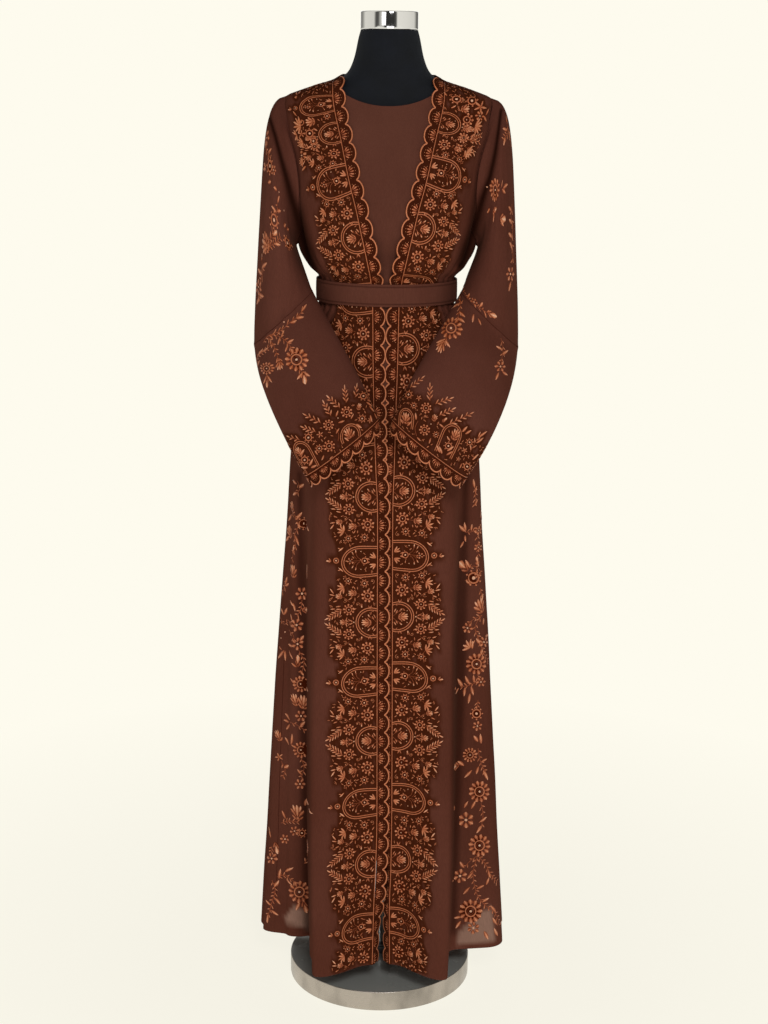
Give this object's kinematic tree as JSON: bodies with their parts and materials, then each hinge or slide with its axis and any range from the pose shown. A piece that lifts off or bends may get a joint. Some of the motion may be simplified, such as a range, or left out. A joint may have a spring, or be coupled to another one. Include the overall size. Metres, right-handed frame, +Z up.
{
  "type": "abaya on a dress form",
  "caption": "Open-front, floor-length abaya with bell sleeves, scalloped embroidered borders and a plain belt, on a limbless dress form with a round base.",
  "frame": {"origin": "centre of the round base's underside, on the floor", "axes": "+Z up the pole; the garment's front faces -Y; +X is the wearer's left, on the right as seen from the front"},
  "size_m": [0.4412, 0.3915, 1.68],
  "materials": {
    "brown_cloth": "dark chocolate-brown georgette, faint satin sheen",
    "insert_cloth": "plain chocolate-brown crepe",
    "border_cloth": "brown cloth covered with copper-orange satin stitch",
    "belt_cloth": "plain brown cloth with stitched edges",
    "embroidery": "copper-orange silky embroidery thread",
    "form_cover": "navy-black knitted cover, matt",
    "black_collar": "black, glossy",
    "base_steel": "brushed round the side",
    "chrome": "mirror chrome"
  },
  "bodies": {
    "root": {"form_base": "base_steel", "form_collar": "black_collar", "form_pole": "chrome", "form_torso": "form_cover", "form_neck_cap": "chrome", "abaya_insert": "insert_cloth", "abaya_back": "brown_cloth", "abaya_front_left": "brown_cloth", "abaya_front_right": "brown_cloth", "abaya_border_left": "border_cloth", "abaya_border_right": "border_cloth", "sleeve_upper_left": "brown_cloth", "sleeve_upper_right": "brown_cloth", "sleeve_lower_left": "brown_cloth", "sleeve_lower_right": "brown_cloth", "sleeve_border_left": "border_cloth", "sleeve_border_right": "border_cloth", "abaya_belt": "belt_cloth"}
  },
  "joints": []
}
